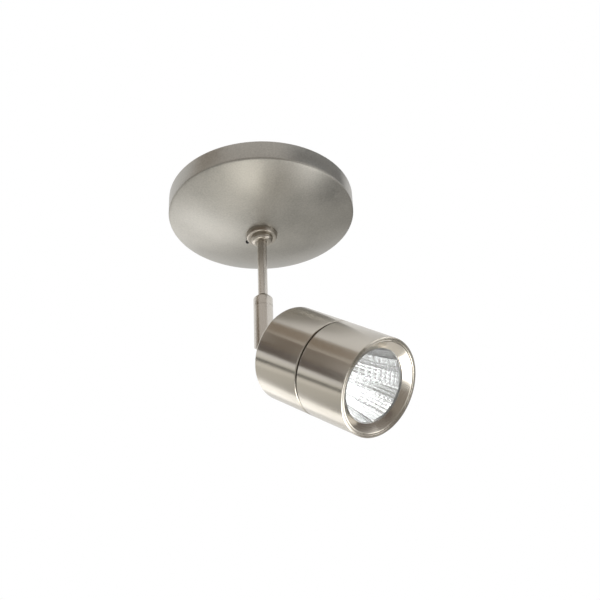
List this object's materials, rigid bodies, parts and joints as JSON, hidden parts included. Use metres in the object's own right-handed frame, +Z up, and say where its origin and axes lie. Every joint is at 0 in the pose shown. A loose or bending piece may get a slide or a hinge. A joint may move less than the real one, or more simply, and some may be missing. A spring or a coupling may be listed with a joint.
{
  "type": "ceiling spotlight",
  "caption": "Adjustable spotlight: a cylindrical brushed-metal head with a faceted reflector hangs from a thin stem on a tilting knuckle under a round domed ceiling canopy.",
  "frame": {"origin": "centre of the mounting plate's upper face, in the ceiling plane", "axes": "+Z up into the ceiling, +X the bearing that the head points to at rest, Y along the tilt pivot"},
  "size_m": [0.1647, 0.127, 0.1992],
  "materials": {
    "satin_nickel": "fine bead-blasted satin nickel over spun steel",
    "polished_nickel": "smooth satin nickel on turned steel",
    "brushed_nickel": "lathe-brushed nickel on turned aluminium",
    "zinc_plated_steel": "bright zinc plate",
    "black_steel": "black oxide",
    "green_steel": "green dyed zinc",
    "brass": "bright brass",
    "white_plastic": "fine moulded texture",
    "ivory_plastic": "smooth moulding",
    "bearing_plastic": "waxy low-friction plastic",
    "circuit_board": "solder mask",
    "cable_sheath": "soft sheath",
    "lead_insulation": "smooth insulation",
    "bare_aluminium": "extruded",
    "thermal_rubber": "soft pad",
    "white_board": "white solder mask on metal core",
    "phosphor": "silicone over phosphor",
    "metallised_reflector": "vacuum-metallised facets",
    "black_rubber": "matt",
    "clear_glass": "polished"
  },
  "bodies": {
    "ceiling_mount": {"mounting_plate": "zinc_plated_steel", "lock_washer": "zinc_plated_steel", "locknut": "brass", "threaded_nipple": "brass", "ground_screw": "green_steel", "driver_case": "white_plastic", "driver_circuit": "circuit_board", "driver_cover": "white_plastic", "driver_screws": "zinc_plated_steel", "terminal_block": "ivory_plastic", "terminal_screw": "zinc_plated_steel", "swivel_ferrule": "polished_nickel", "pan_washer": "bearing_plastic", "pan_stop_pin": "black_steel"},
    "canopy": {"canopy": "satin_nickel", "collar": "polished_nickel", "collar_set_screw": "black_steel"},
    "stem": {"stem": "polished_nickel", "stem_cable": "cable_sheath", "stem_cap": "polished_nickel", "upper_knuckle": "polished_nickel", "pivot_screw": "black_steel", "friction_washer": "bearing_plastic"},
    "head": {"lower_knuckle": "polished_nickel", "tension_washer": "black_steel", "knuckle_washer": "zinc_plated_steel", "knuckle_nut": "zinc_plated_steel", "rear_housing": "brushed_nickel", "heat_sink": "bare_aluminium", "heat_sink_screws": "black_steel", "thermal_pad": "thermal_rubber", "emitter_board": "white_board", "emitter": "phosphor", "emitter_holder": "white_plastic", "holder_screws": "zinc_plated_steel", "emitter_leads": "lead_insulation", "reflector": "metallised_reflector"},
    "barrel": {"front_barrel": "brushed_nickel", "barrel_o_ring": "black_rubber", "lens_gasket": "black_rubber", "lens": "clear_glass", "bezel_ring": "brushed_nickel"}
  },
  "joints": [
    {"name": "canopy_drop", "type": "slide", "parent": "ceiling_mount", "child": "canopy", "axis": [0, 0, -1], "range_m": [0, 0.04]},
    {"name": "pan", "type": "hinge", "parent": "ceiling_mount", "child": "stem", "pos_m": [0, 0, -0.0353], "axis": [0, 0, 1], "range_deg": [-160, 160]},
    {"name": "tilt", "type": "hinge", "parent": "stem", "child": "head", "pos_m": [0, 0, -0.1135], "axis": [0, -1, 0], "range_deg": [-143.5, 36.5]},
    {"name": "barrel_twist", "type": "hinge", "parent": "head", "child": "barrel", "pos_m": [0, 0, -0.1135], "axis": [0.8039, 0, -0.5948], "range_deg": [0, 45]}
  ]
}
